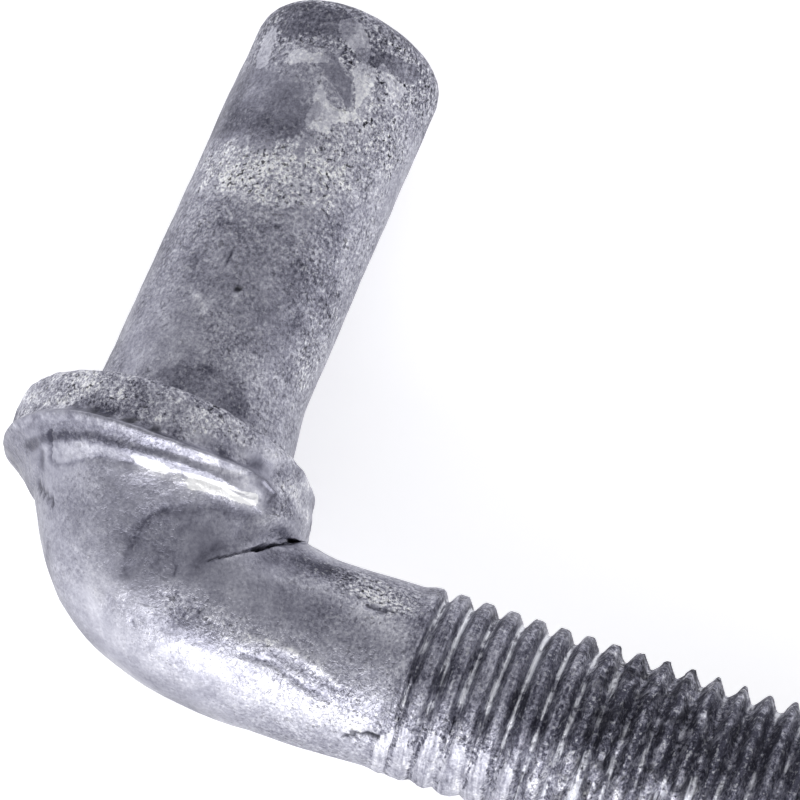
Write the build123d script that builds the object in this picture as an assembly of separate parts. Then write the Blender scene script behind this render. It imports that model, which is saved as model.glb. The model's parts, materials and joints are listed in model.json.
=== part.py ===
from build123d import *

import math
import os

# J bolt: the pin of a gate hinge, forged in one piece with its threaded shank.
#
# The bolt is worked out in the plane of its bend and then laid down as it comes to rest.
# In that plane the shank runs along +X, the pintle stands just inside +Y, and their
# centre lines cross at (0, 0). Lengths are in millimetres and angles in degrees.

# ---- driving dimensions -------------------------------------------------------------
bend_angle = 87.0            # between the shank and the pintle

pintle_diameter = 19.9       # the pin that the hinge strap turns on
pintle_height = 64.4         # from the shank's centre line to the tip
tip_flat_diameter = 12.0     # what is left flat at the tip
tip_round_height = 3.6       # how far below the tip its rounding starts

collar_top = 16.4            # from the shank's centre line to the seat of the strap
collar_top_diameter = 30.2   # across the rim, just under the seat
collar_offset = 0.25         # how far the rim sits off the pintle, away from the shank
shoulder_radius = 1.7        # rounding between seat and rim
seat_root_radius = 0.8       # hollow between seat and pintle
lip_diameter = 31.4          # across the flash lip at the foot of the rim
lip_height = 9.8             # from the shank's centre line to the widest line of the lip
lip_radius = 1.1             # rounding of the lip
underside_depth = 3.4        # how far the hollow underside reaches below the lip
underside_diameter = 24.0    # where the hollow underside runs into the elbow

elbow_top_width = 27.2       # elbow just under the collar, in the plane of the bend
elbow_top_thickness = 25.0   # elbow just under the collar, across that plane
elbow_inside_radius = 3.0    # inside radius of the bend
elbow_taper = 1.17           # how fast the elbow thins away from the collar, 1 being evenly
elbow_sections = 3           # ovals that the elbow is drawn through
elbow_end = 17.0             # where the elbow runs into the neck, along the shank
crease_x = 15.3              # where the cold fold opens between lip and neck, along the shank
crease_depth = 1.1           # how far the fold cuts in at the inside of the bend
crease_width = 1.3           # how wide the fold is open there
crease_reach = 8.2           # how far the fold runs out over each side of the elbow
crease_span = 19.6           # from one end of the fold to the other

neck_diameter = 18.2         # plain shank between elbow and thread
thread_diameter = 18.84      # over the crests of the 3/4-10 thread
thread_start = 28.0          # from the pintle's centre line to the start of the thread
thread_end_chamfer = 1.6     # lead-in at the free end
shank_length = 152.4         # from the pintle's centre line to the free end

# ---- values that follow -------------------------------------------------------------
pintle_lean = 90.0 - bend_angle
pintle_direction = Vector(math.cos(math.radians(bend_angle)), math.sin(math.radians(bend_angle)), 0)
pintle_radius = pintle_diameter / 2
neck_radius = neck_diameter / 2
thread_radius = thread_diameter / 2
settling_steps = 8           # times the resting place is worked out, each closer than the last
elbow_pivot = Vector(elbow_end, neck_radius + elbow_inside_radius, 0)


def turned(outline):
    """A closed outline of (distance from the pintle, height) edges, turned into a solid."""
    face = make_face(outline)
    solid = revolve(face, axis=Axis.Y, revolution_arc=360)
    return Rot(0, 0, -pintle_lean) * solid


def pintle():
    """The pin: a plain cylinder, hammered round at the tip and hollowed into the seat at its foot."""
    tip_radius = tip_flat_diameter / 2
    tip_flat = Line((0, pintle_height), (tip_radius, pintle_height))
    shoulder = (pintle_radius, pintle_height - tip_round_height)
    tip = Spline((tip_radius, pintle_height), shoulder, tangents=((1, -0.25), (0, -1)))
    side = Line(shoulder, (pintle_radius, collar_top + seat_root_radius))
    root = JernArc(side @ 1, (0, -1), seat_root_radius, 90)
    edge = Line(root @ 1, (pintle_radius + seat_root_radius, lip_height))
    foot = Line(edge @ 1, (0, lip_height))
    return turned([tip_flat, tip, side, root, edge, foot, Line(foot @ 1, tip_flat @ 0)])


def collar():
    """Seat, rim, flash lip and hollow underside of the forged collar."""
    rim_radius = collar_top_diameter / 2
    lip_outer = lip_diameter / 2
    under_radius = underside_diameter / 2
    under_height = lip_height - underside_depth
    seat = Line((0, collar_top), (rim_radius - shoulder_radius, collar_top))
    shoulder = JernArc(seat @ 1, (1, 0), shoulder_radius, -90)
    rim = Line(shoulder @ 1, (lip_outer, lip_height))
    lip = JernArc(rim @ 1, (0, -1), lip_radius, -90)
    under = Spline(lip @ 1, (under_radius, under_height), tangents=((-1, 0), (-0.3, -1)))
    core = Line(under @ 1, (under_radius - underside_depth, under_height - underside_depth))
    floor = Line(core @ 1, (0, under_height - underside_depth))
    outline = [seat, shoulder, rim, lip, under, core, floor, Line(floor @ 1, seat @ 0)]
    sideways = Vector(-math.sin(math.radians(bend_angle)), math.cos(math.radians(bend_angle)), 0)
    return Pos(*(sideways * collar_offset)) * turned(outline)


def elbow():
    """The bend, drawn through ovals that fan out from its inside."""
    first = 180 - pintle_lean
    last = 270
    ovals = []
    for step in range(elbow_sections):
        share = step / (elbow_sections - 1)
        swell = (1 - share) ** elbow_taper
        width = neck_diameter + (elbow_top_width - neck_diameter) * swell
        thickness = neck_diameter + (elbow_top_thickness - neck_diameter) * swell
        angle = math.radians(first + (last - first) * share)
        outwards = Vector(math.cos(angle), math.sin(angle), 0)
        centre = elbow_pivot + outwards * (elbow_inside_radius + width / 2)
        plane = Plane(origin=centre, x_dir=outwards, z_dir=outwards.cross(Vector(0, 0, 1)))
        ovals.append(plane * Ellipse(width / 2, thickness / 2))
    return loft(ovals)


def shank():
    """Plain neck and the blank of the thread, chamfered at the free end."""
    upright = (Align.CENTER, Align.CENTER, Align.MIN)
    neck = Cylinder(neck_radius, thread_start - elbow_end, align=upright)
    blank = Cylinder(thread_radius, shank_length - thread_start, align=upright)
    blank = chamfer(blank.faces().sort_by(Axis.Z)[-1].edges(), thread_end_chamfer)
    along = Plane(origin=(0, 0, 0), x_dir=(0, 1, 0), z_dir=(1, 0, 0))
    return along * (Pos(0, 0, elbow_end) * neck + Pos(0, 0, thread_start) * blank)


def crease():
    """The cold fold inside the bend: a V that follows an arc and runs out over both sides."""
    rise = crease_reach - crease_depth
    arc_radius = (rise**2 + (crease_span / 2) ** 2) / (2 * rise)
    middle = math.radians(180 + bend_angle / 2)
    inwards = Vector(math.cos(middle), math.sin(middle), 0)
    mouth = Vector(crease_x, neck_radius, 0)
    centre = mouth + inwards * (crease_depth + arc_radius)
    outer_radius = arc_radius + 2 * crease_depth
    corners = [(arc_radius, 0), (outer_radius, crease_width), (outer_radius, -crease_width)]
    vee = Plane.XZ * make_face(Polyline(*corners, close=True))
    ring = revolve(vee, axis=Axis.Z, revolution_arc=360)
    return Plane(origin=centre, x_dir=inwards, z_dir=inwards.cross(Vector(0, 0, 1))) * ring


def resting_place():
    """The place of the bolt on level ground, touching at lip, pintle tip and free end."""
    pintle_foot = pintle_direction * (pintle_height - tip_round_height)
    rings = [
        (pintle_direction * lip_height, pintle_direction, lip_diameter / 2),
        (pintle_foot, pintle_direction, pintle_radius),
        (Vector(shank_length - thread_end_chamfer, 0, 0), Vector(1, 0, 0), thread_radius),
    ]
    upwards = Vector(0, 0, 1)
    for _ in range(settling_steps):
        lowest = []
        for centre, direction, radius in rings:
            down = direction * upwards.dot(direction) - upwards
            lowest.append(centre + down.normalized() * radius)
        lip, tip, end = lowest
        upwards = (end - lip).cross(tip - lip).normalized()
    along = Vector(1, 0, 0) - upwards * upwards.X
    ground = Plane(origin=lip, x_dir=along, z_dir=upwards)
    return ground.location.inverse()


bolt = pintle() + collar() + elbow() + shank() - crease()
bolt = resting_place() * bolt
box = bolt.bounding_box()
to_origin = Pos(-box.center().X, -box.center().Y, -box.min.Z)
bolt = to_origin * bolt

os.makedirs("parts", exist_ok=True)
export_step(bolt, "parts/j_bolt.step")
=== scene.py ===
import json
import math

import bmesh
import bpy
import numpy as np
from mathutils import Matrix, Vector, noise


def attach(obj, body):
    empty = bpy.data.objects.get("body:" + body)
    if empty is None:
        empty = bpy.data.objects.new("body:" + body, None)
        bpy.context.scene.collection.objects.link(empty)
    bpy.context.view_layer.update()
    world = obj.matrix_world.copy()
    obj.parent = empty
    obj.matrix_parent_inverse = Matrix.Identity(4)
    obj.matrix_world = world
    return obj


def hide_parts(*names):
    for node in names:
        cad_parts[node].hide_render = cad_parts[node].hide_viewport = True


# %% [markdown]
# # A galvanised j bolt
#
# This lesson dresses one forged hinge bolt: a smooth pin, the pintle, that a gate's strap
# turns on, a collar that carries the strap, a bend, and a long threaded shank.
# The engineer's solid gives the sizes. It has a smooth blank where the thread belongs, and
# none of the lumps, folds and grain that a hammer and a bath of molten zinc leave behind.
# Here the whole skin is drawn again as one closed mesh that follows the solid.

# %% Load the solid and keep its box
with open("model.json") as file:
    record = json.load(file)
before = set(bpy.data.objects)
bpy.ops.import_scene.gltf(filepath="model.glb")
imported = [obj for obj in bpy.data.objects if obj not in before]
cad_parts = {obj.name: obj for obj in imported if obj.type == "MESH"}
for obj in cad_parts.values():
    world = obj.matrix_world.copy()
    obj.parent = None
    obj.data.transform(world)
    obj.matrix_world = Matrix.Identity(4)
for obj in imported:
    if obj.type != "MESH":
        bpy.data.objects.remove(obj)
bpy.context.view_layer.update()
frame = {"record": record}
mounts = {mount["name"]: mount for mount in frame["record"]["mounts"]}

# %% [markdown]
# ## The maker's drawing plane
#
# The bolt lies on the ground resting on lip, pintle tip and free end, so no axis of the
# scene follows it. A smith thinks in the plane of the bend: X along the shank, Z square to
# the bend, and zero where the centre lines of pintle and shank cross. The two centre
# lines are known from the places where other parts fasten, so the plane comes from them.

# %% Find the drawing plane from the two centre lines
shank_axis = np.array(mounts["threaded_shank"]["axis"])
pintle_axis = np.array(mounts["pintle"]["axis"])
shank_point = 1000 * np.array(mounts["threaded_shank"]["pos_m"])
pintle_point = 1000 * np.array(mounts["pintle"]["pos_m"])

along = shank_axis / np.linalg.norm(shank_axis)
square = np.cross(along, pintle_axis)
square /= np.linalg.norm(square)
upright = np.cross(square, along)
gap = pintle_point - shank_point
reach = gap @ upright / (pintle_axis @ upright)
crossing = pintle_point - reach * pintle_axis
turn = np.column_stack([along, upright, square])
lean = math.asin(pintle_axis @ along)
print("crossing in mm:", crossing.round(2), "pintle leans", round(math.degrees(lean), 2), "degrees")


# %% A function that lays drawing points down in the scene
def lay_down(points):
    """Millimetres in the drawing plane become metres in the scene."""
    return (np.asarray(points) @ turn.T + crossing) / 1000


print("the crossing in the scene, in metres:", lay_down([[0, 0, 0]]).round(4))

# %% [markdown]
# ## Sizes
#
# All sizes are in millimetres and repeat those of the solid, so the skin stays on it.
# Heights are measured along the pintle from the shank's centre line.

# %% Sizes of pintle and collar
PIN_RADIUS = 9.95
PIN_TIP = 64.4
TIP_FLAT_RADIUS = 6.0
TIP_ROUNDING = 3.6
SEAT = 16.4
SEAT_ROOT = 0.8
RIM_RADIUS = 15.1
SHOULDER = 1.7
LIP_RADIUS = 15.7
LIP_HEIGHT = 9.8
COLLAR_OFFSET = 0.25
print("pintle stands", round(PIN_TIP - SEAT, 1), "mm above the seat")

# %% Sizes of elbow, neck and thread
NECK_RADIUS = 9.1
ELBOW_TOP_WIDTH = 27.2
ELBOW_TOP_THICKNESS = 25.0
ELBOW_INSIDE_RADIUS = 3.0
ELBOW_TAPER = 1.17
ELBOW_END = 17.0
SHANK_LENGTH = 152.4
CREST_RADIUS = 9.42
PITCH = 2.54
TURNS = 48
THREAD_START = SHANK_LENGTH - (TURNS + 1) * PITCH
END_CHAMFER = 1.6
print("thread starts", round(THREAD_START, 2), "mm along the shank")

# %% [markdown]
# ## Guide lines
#
# The skin of a bent bar is easiest to draw as rings. Each ring touches three guide lines in
# the plane of the bend: one on the inside, one on the outside, and one down the middle
# that also says how far the ring stands out towards the viewer. On pintle and collar the
# rings are plain circles. Round the bend they fan out from the fold.

# %% Directions in the plane of the bend
UP = np.array([math.sin(lean), math.cos(lean)])
INWARDS = np.array([math.cos(lean), -math.sin(lean)])


def spaced(points, count):
    """A smooth line through a few points, cut into evenly spaced steps."""
    p = np.array(points, float)
    p = np.vstack([2 * p[0] - p[1], p, 2 * p[-1] - p[-2]])
    t = np.linspace(0, 1, 24, endpoint=False)[:, None]
    line = []
    for a, b, c, d in zip(p, p[1:], p[2:], p[3:]):
        bow = 2 * a - 5 * b + 4 * c - d + t * (3 * (b - c) + d - a)
        line.append(b + t / 2 * (c - a + t * bow))
    line = np.vstack([*line, p[-2:-1]])
    length = np.r_[0, np.linalg.norm(np.diff(line, axis=0), axis=1).cumsum()]
    even = np.linspace(0, length[-1], count)
    return np.column_stack([np.interp(even, length, column) for column in line.T])


# %% Outline of pintle, seat, rim and lip as (distance from the centre line, height)
pin_top, pin_foot = (PIN_RADIUS, PIN_TIP - TIP_ROUNDING), (PIN_RADIUS, SEAT + SEAT_ROOT)
seat_root, rim_top = (PIN_RADIUS + SEAT_ROOT, SEAT), (RIM_RADIUS - SHOULDER, SEAT)
tip_flat = [(0.12, PIN_TIP), (TIP_FLAT_RADIUS, PIN_TIP)]
tip_round = [tip_flat[1], (8.35, PIN_TIP - 0.75), (9.6, PIN_TIP - 2), pin_top]
root = [pin_foot, (PIN_RADIUS + 0.23, SEAT + 0.23), seat_root]
rim = [rim_top, (RIM_RADIUS - 0.5, SEAT - 0.5), (RIM_RADIUS, SEAT - SHOULDER)]
rim += [(RIM_RADIUS + 0.1, LIP_HEIGHT + 2.4), (RIM_RADIUS, LIP_HEIGHT + 1.45)]
rim += [(LIP_RADIUS - 0.3, LIP_HEIGHT + 0.8), (LIP_RADIUS, LIP_HEIGHT + 0.4)]
# each stretch of the outline with its number of rings
stretches = [(tip_flat, 10), (tip_round, 11), ([pin_top, pin_foot], 64), (root, 5)]
stretches += [([seat_root, rim_top], 6), (rim, 24)]
turned = np.vstack([tip_flat[:1]] + [spaced(line, count)[1:] for line, count in stretches])
print(len(turned), "rings from the tip to the lip")

# %% Guide lines of pintle and collar
shift = np.interp(turned[:, 0], [seat_root[0], rim_top[0]], [0, COLLAR_OFFSET])
shift[turned[:, 1] > SEAT + SEAT_ROOT] = 0
middle = turned[:, 1:] * UP - shift[:, None] * INWARDS
inner_guide = middle + turned[:, :1] * INWARDS
outer_guide = middle - turned[:, :1] * INWARDS
print("collar stands off by mm:", shift.max())

# %% The bend: how wide and how thick the bar is on its way round
# how far the hammer left the back of the bend out or in, in mm, at these shares of the way
OUTSIDE_SHARES = [0, 0.2, 0.31, 0.4, 0.49, 0.57, 0.665, 0.756, 0.86, 1]
OUTSIDE_SWELLS = [-0.35, -0.3, 0, 0.25, 0.15, -0.15, -0.33, -0.45, -0.4, 0]


def bend(share):
    """Middle, outer side and half thickness of the bar, for 0 under the collar to 1 at the neck."""
    swell = (1 - share) ** ELBOW_TAPER
    width = 2 * NECK_RADIUS + (ELBOW_TOP_WIDTH - 2 * NECK_RADIUS) * swell
    thickness = 2 * NECK_RADIUS + (ELBOW_TOP_THICKNESS - 2 * NECK_RADIUS) * swell
    angle = math.pi - lean + (math.pi / 2 + lean) * share
    pivot = np.array([ELBOW_END, NECK_RADIUS + ELBOW_INSIDE_RADIUS])
    outwards = np.column_stack([np.cos(angle), np.sin(angle)])
    centre = pivot + outwards * (ELBOW_INSIDE_RADIUS + width / 2)[:, None]
    outside = np.interp(share, OUTSIDE_SHARES, OUTSIDE_SWELLS)
    outer = pivot + outwards * (ELBOW_INSIDE_RADIUS + width + outside)[:, None]
    return centre, outer, thickness / 2


bend_middle, bend_outer, bend_stand = bend(np.linspace(0, 1, 200))
print("outside of the bend ends at", bend_outer[-1].round(2))

# %% [markdown]
# ## The cold fold
#
# When the hot bar was bent, the metal inside the bend had nowhere to go. It folded over
# itself and left a dark crack between collar and neck. All the rings of the bend fan out
# from there, so the fold follows one of the rings.

# %% Rings round the bend
FOLD = np.array([14.9, 8.95])
FOLD_RING = 0.56  # the share of the way round at which the rings pass through the fold
BEND_RINGS = 60
FIRST_OUTER = math.radians(7.2)  # how far below the collar the first ring leaves the fold
FIRST_MIDDLE = math.radians(14.5)


def on_ray(line, values, angle):
    """Where rays from the fold, at these angles below the collar, meet a line, and its value."""
    away = line - FOLD
    below = np.arctan2(-away @ UP, -away @ INWARDS)
    keep = np.maximum.accumulate(below) == below
    columns = [line[keep, 0], line[keep, 1], values[keep]]
    return np.column_stack([np.interp(angle, below[keep], column) for column in columns])


last = math.pi / 2 + lean
step = np.linspace(0, 1, BEND_RINGS)
outer_bend = on_ray(bend_outer, bend_stand, FIRST_OUTER + (last - FIRST_OUTER) * step)
middle_bend = on_ray(bend_middle, bend_stand, FIRST_MIDDLE + (last - FIRST_MIDDLE) * step)
print("bend rings start at", outer_bend[0, :2].round(2), "and end at", outer_bend[-1, :2].round(2))

# %% The inside of the bend: down into the fold and out again on to the neck
BROW = 0.75  # how far the neck swells out beside the fold
lip_low = inner_guide[-1]
fold_share = np.clip(step / FOLD_RING, 0, 1)[:, None]
leave_share = np.clip((step - FOLD_RING) / (1 - FOLD_RING), 0, 1)[:, None]
neck_brow = np.array([16.6, NECK_RADIUS + BROW])
into_fold = lip_low + (FOLD - lip_low) * (0.35 + 0.65 * fold_share**1.5)
inner_bend = np.where(fold_share < 1, into_fold, FOLD + (neck_brow - FOLD) * leave_share**0.8)
print("fold to lip in mm:", np.linalg.norm(FOLD - lip_low).round(1))

# %% Under the lip: hollow sides that run from the lip into the bend
UNDER_RINGS = 21
UNDER_SWELL = 1.35  # how far the sides of the bar swell out under the hollow
low = turned[-1]
middle_bend[:, 2] += UNDER_SWELL * np.clip(1 - step / 0.38, 0, 1) ** 2
near = [(15.6, 9.9), (15.1, 9.35), (14.75, 9), (14.6, 8.55), (14.5, 8.2), (14.1, 7.75)]
near += [(13.55, 7.3), (13.3, 6.8), (middle_bend[0, 2], 5.9)]
under_near = spaced([low, *near], UNDER_RINGS)
outer_end = (-outer_bend[0, :2] @ INWARDS, outer_bend[0, :2] @ UP)
far = [(15.5, 9.75), (14.6, 9.25), (13.6, 8.65), (12.99, 8.1), (12.2, 7.3), outer_end]
under_out = spaced([(low[0] + COLLAR_OFFSET, low[1]), *far], UNDER_RINGS)
under_share = np.linspace(0, 1, UNDER_RINGS)[:, None]
under_inner = lip_low + (inner_bend[0] - lip_low) * under_share
under_middle = under_near[:, 1:] * UP - COLLAR_OFFSET * (1 - under_share) * INWARDS
under_middle += under_share * (middle_bend[0, :2] - under_near[-1, 1] * UP)
under_outer = under_out[:, 1:] * UP - under_out[:, :1] * INWARDS
print("height of the hollow in mm:", (low[1] - under_near[-1, 1]).round(1))

# %% The neck: round rings up to the start of the thread
NECK_RINGS = 22
BROW_LENGTH = 4.2
neck_x = np.linspace(ELBOW_END - 1.2, THREAD_START, NECK_RINGS)[1:]
neck_zero = np.zeros_like(neck_x)
neck_belly = np.sin(np.linspace(0, np.pi, len(neck_x)))
brow = BROW * np.clip(1 - (neck_x - neck_brow[0]) / BROW_LENGTH, 0, 1) ** 2 - 0.1 * neck_belly
neck_inner = np.column_stack([np.maximum(neck_x, neck_brow[0] + 0.02 * neck_x), NECK_RADIUS + brow])
neck_middle = np.column_stack([neck_x, neck_zero])
neck_outer = np.column_stack([neck_x, -NECK_RADIUS - 0.2 * neck_belly])

inner = np.vstack([inner_guide, under_inner[1:], inner_bend[1:], neck_inner])
centre = np.vstack([middle, under_middle[1:], middle_bend[1:, :2], neck_middle])
outer = np.vstack([outer_guide, under_outer[1:], outer_bend[1:, :2], neck_outer])
stand = np.r_[turned[:, 0], under_near[1:, 0], middle_bend[1:, 2], neck_zero + NECK_RADIUS]
print(len(stand), "rings from the tip to the thread")

# %% Draw the rings
HEAD_COLUMNS = 192
around = np.linspace(0, 2 * np.pi, HEAD_COLUMNS, endpoint=False)
half = (inner + outer) / 2
rings = (
    half[:, None] + np.cos(around)[None, :, None] * ((inner - outer) / 2)[:, None]
    + (np.sin(around) ** 2)[None, :, None] * (centre - half)[:, None]
)
head = np.dstack([rings, np.sin(around)[None] * stand[:, None]])
print("head lattice:", head.shape[0], "rings of", head.shape[1], "points")

# %% Join the rings into faces, with a closed pole at the tip
THREAD_COLUMNS = HEAD_COLUMNS // 2


def ring_faces(ring):
    """Faces between a ring of points and the next one."""
    here = ring * HEAD_COLUMNS + np.arange(HEAD_COLUMNS)
    there = np.roll(here, -1)
    corners = np.column_stack([here, there, there + HEAD_COLUMNS, here + HEAD_COLUMNS])
    return [tuple(face) for face in corners.tolist()]


def link(name, data):
    """A new object in the scene, standing unturned at the origin."""
    made = bpy.data.objects.new(name, data)
    bpy.context.collection.objects.link(made)
    return made


def to_mesh(name, points, faces):
    """A mesh object with these points and faces."""
    mesh = bpy.data.meshes.new(name)
    mesh.from_pydata(np.asarray(points).tolist(), [], faces)
    return link(name, mesh)


head_points = head[:-1].reshape(-1, 3)
head_faces = [face for ring in range(len(head) - 2) for face in ring_faces(ring)]
pole = len(head_points)
head_faces += [(k, pole, (k + 1) % HEAD_COLUMNS) for k in range(HEAD_COLUMNS)]
weld = pole + 1
last_ring = pole - HEAD_COLUMNS
for k in range(THREAD_COLUMNS):
    a, b, c = (last_ring + (2 * k + s) % HEAD_COLUMNS for s in range(3))
    p, q = weld + k, weld + (k + 1) % THREAD_COLUMNS
    head_faces += [(a, b, p), (b, q, p), (b, c, q)]
tip_point = [[*(UP * PIN_TIP), 0]]
head_points = np.vstack([head_points, tip_point, head[-1][::2]])
head_piece = to_mesh("forged_head", head_points, head_faces)
print("head:", len(head_points), "points and", len(head_faces), "faces")

# %% [markdown]
# ## The thread
#
# A 3/4 inch bolt has ten turns to the inch. The thread is rolled: dies press the grooves in
# and push the crests up, so the crests stand a little prouder than the plain neck. Zinc
# then fills the first grooves, which are shallower than those further along.
# A node tree makes the thread from a flat grid: one direction of the grid goes round the
# bar, the other runs along the helix. The grid is sheared so that its edge meets itself
# one turn further on, and the doubled points are merged into one closed skin.


# %% One function that adds a node to the tree at hand
# the kinds used most, where the second word is the node's operation or type
PLUS, MINUS, TIMES = "Math ADD", "Math SUBTRACT", "Math MULTIPLY"
TIMES_PLUS, SOFT_STEP = "Math MULTIPLY_ADD", "MapRange SMOOTHSTEP"
MODES = ("operation", "interpolation_type", "data_type")


def add(kind, *values, **settings):
    """Adds a node such as "Math ADD" to the tree, with its inputs in order or in a dictionary."""
    kind, *mode = kind.split()
    made = tree.nodes.new(kind if "Node" in kind else "ShaderNode" + kind)
    if mode:
        settings[next(name for name in MODES if hasattr(made, name))] = mode[0]
    for name, value in settings.items():
        setattr(made, name, value)
    by_name = values and isinstance(values[0], dict)
    for name, value in (values[0] if by_name else dict(enumerate(values))).items():
        if isinstance(value, bpy.types.Node):
            value = value.outputs[0]
        if isinstance(value, bpy.types.NodeSocket):
            tree.links.new(value, made.inputs[name])
        else:
            made.inputs[name].default_value = value
    return made


# %% The thread's tree and its named inputs
ROWS_PER_TURN = 12
THREAD_SIZES = {
    "Start": THREAD_START, "Pitch": PITCH, "Turns": TURNS, "Neck radius": NECK_RADIUS,
    "Crest radius": CREST_RADIUS, "First depth": 1.0, "Full depth": 1.55,
    "Turns to full depth": 13.0, "Root width": 0.3, "Crest phase": 0.8136, "Hand": -1.0,
    "Free end": SHANK_LENGTH, "End chamfer": END_CHAMFER,
}
INPUT_KINDS = {name: "Float" for name in THREAD_SIZES}
INPUT_KINDS |= {"Columns": "Int", "Rows": "Int", "Finish": "Material"}
tree = thread_tree = bpy.data.node_groups.new("rolled_thread", "GeometryNodeTree")
for name, kind in INPUT_KINDS.items():
    tree.interface.new_socket(name, in_out="INPUT", socket_type="NodeSocket" + kind)
tree.interface.new_socket("Skin", in_out="OUTPUT", socket_type="NodeSocketGeometry")
size = add("NodeGroupInput").outputs
print("inputs:", len(INPUT_KINDS))

# %% Round the bar and along the helix
grid = add("GeometryNodeMeshGrid", 1.0, 1.0, size["Columns"], size["Rows"])
across = add("SeparateXYZ", grid.outputs["UV Map"])
u = across.outputs["X"]
w = add(TIMES, across.outputs["Y"], add(PLUS, size["Turns"], 2.0))
run_in = add(TIMES, u, add("Math MINIMUM", w, 1.0))
past_first = add(MINUS, w, 1.0)
turns_on = add("Math MINIMUM", add("Math MAXIMUM", past_first, 0.0), size["Turns"])
run_out = add("Math MAXIMUM", add(MINUS, past_first, size["Turns"]), 0.0)
run_out = add(TIMES, add(MINUS, 1.0, u), run_out)
so_far = add(PLUS, add(PLUS, run_in, turns_on), run_out)
x = add(TIMES_PLUS, so_far, size["Pitch"], size["Start"])

# %% The groove: a V with 60 degree flanks and a narrow flat root
phase = add(MINUS, add(MINUS, so_far, u), size["Crest phase"])
from_root = add("Math ABSOLUTE", add(MINUS, add("Math FRACT", phase), 0.5))
from_root = add(TIMES, from_root, size["Pitch"])
deepen = add("Math MINIMUM", add("Math DIVIDE", so_far, size["Turns to full depth"]), 1.0)
extra = add(MINUS, size["Full depth"], size["First depth"])
depth = add(TIMES_PLUS, deepen, extra, size["First depth"])
depth = add(TIMES, depth, add(SOFT_STEP, so_far, 0.45, 1.2))
flank = add(MINUS, from_root, add("Math DIVIDE", size["Root width"], 2.0))
flank = add("Math DIVIDE", add("Math MAXIMUM", flank, 0.0), math.tan(math.radians(30)))
groove = add("Math SMOOTH_MAX", add(MINUS, depth, flank), 0.0, 0.12)
first_quarter = add("Math MINIMUM", add(TIMES, so_far, 4.0), 1.0)
groove = add(TIMES, groove, first_quarter)

# %% Crests stand up from the neck, and a cone trims the free end
step_up = add(MINUS, size["Crest radius"], size["Neck radius"])
raised = add(SOFT_STEP, so_far, 0.15, 0.8)
crest = add(TIMES_PLUS, raised, step_up, size["Neck radius"])
to_end = add(MINUS, size["Free end"], x)
cone = add(PLUS, add(MINUS, size["Crest radius"], size["End chamfer"]), to_end)
radius = add("Math MINIMUM", add(MINUS, crest, groove), cone)

# %% Wrap the grid round the bar, weld its edges and finish the tree
angle = add(TIMES, add(TIMES, u, 2 * math.pi), size["Hand"])
y = add(TIMES, radius, add("Math COSINE", angle))
z = add(TIMES, radius, add("Math SINE", angle))
place = add("CombineXYZ", x, y, z)
wrapped = add("GeometryNodeSetPosition", {"Geometry": grid, "Position": place})
sunk_share = add("Math DIVIDE", groove, add("Math MAXIMUM", depth, 0.3))
sockets = {"Geometry": wrapped, "Name": "groove", "Value": sunk_share}
root_mark = add("GeometryNodeStoreNamedAttribute", sockets, data_type="FLOAT", domain="POINT")
welded = add("GeometryNodeMergeByDistance", {"Geometry": root_mark, "Distance": 0.002})
real = add("GeometryNodeRealizeInstances", welded)
finished = add("GeometryNodeSetMaterial", {"Geometry": real, "Material": size["Finish"]})
add("NodeGroupOutput", finished)
print("thread tree has", len(tree.nodes), "nodes")

# %% [markdown]
# ## The finish: hot-dip galvanising
#
# The forging is pickled in acid and dipped into molten zinc at 450 degrees. It comes out
# with a bluish grey skin of uneven thickness: bright where the zinc stayed thick and
# smooth, dull and grainy where the iron came through it. The dark in the fold and in the
# groove over the bead is painted shade, and bright bands on the collar and elbow are partly
# painted highlights. To the eye it is a rough metal with a fine pale and dark speckle.


# %% Colours as hex values, turned linear by one function
def linear(hex_colour):
    """The linear colour of an sRGB hex value."""
    parts = [int(hex_colour[k : k + 2], 16) / 255 for k in (1, 3, 5)]
    return *(p / 12.92 if p <= 0.04045 else ((p + 0.055) / 1.055) ** 2.4 for p in parts), 1.0


# The dark of grime and specks, used also for painted shade in the fold's crack, the undercut and at
# the pintle's foot
GRIME = linear("#24242B")
PALE_SPECK = linear("#F2F3F7")
ROOT_ZINC = linear("#EDEEF3")
ZINC_TONES = {0.0: "#4E4E5B", 0.25: "#7F7F8C", 0.5: "#A3A3AF", 0.75: "#CACAD3", 1.0: "#F7F7F7"}
print("middle zinc is", [round(c, 3) for c in linear(ZINC_TONES[0.5])[:3]])

# %% A material named for the finish, and the marks that it reads from the points
MM = 1000.0  # Object coordinates are in metres, so this many pattern steps to a millimetre
MARKS = ("tone", "rough", "grime", "groove", "thread", "dull", "flake")
zinc = bpy.data.materials.new("hot_dip_zinc")
zinc.use_nodes = True
tree = zinc.node_tree
tree.nodes.clear()
where = add("TexCoord").outputs["Object"]
marked = {name: add("Attribute", attribute_name=name).outputs["Fac"] for name in MARKS}
print("marks:", *marked)

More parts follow.
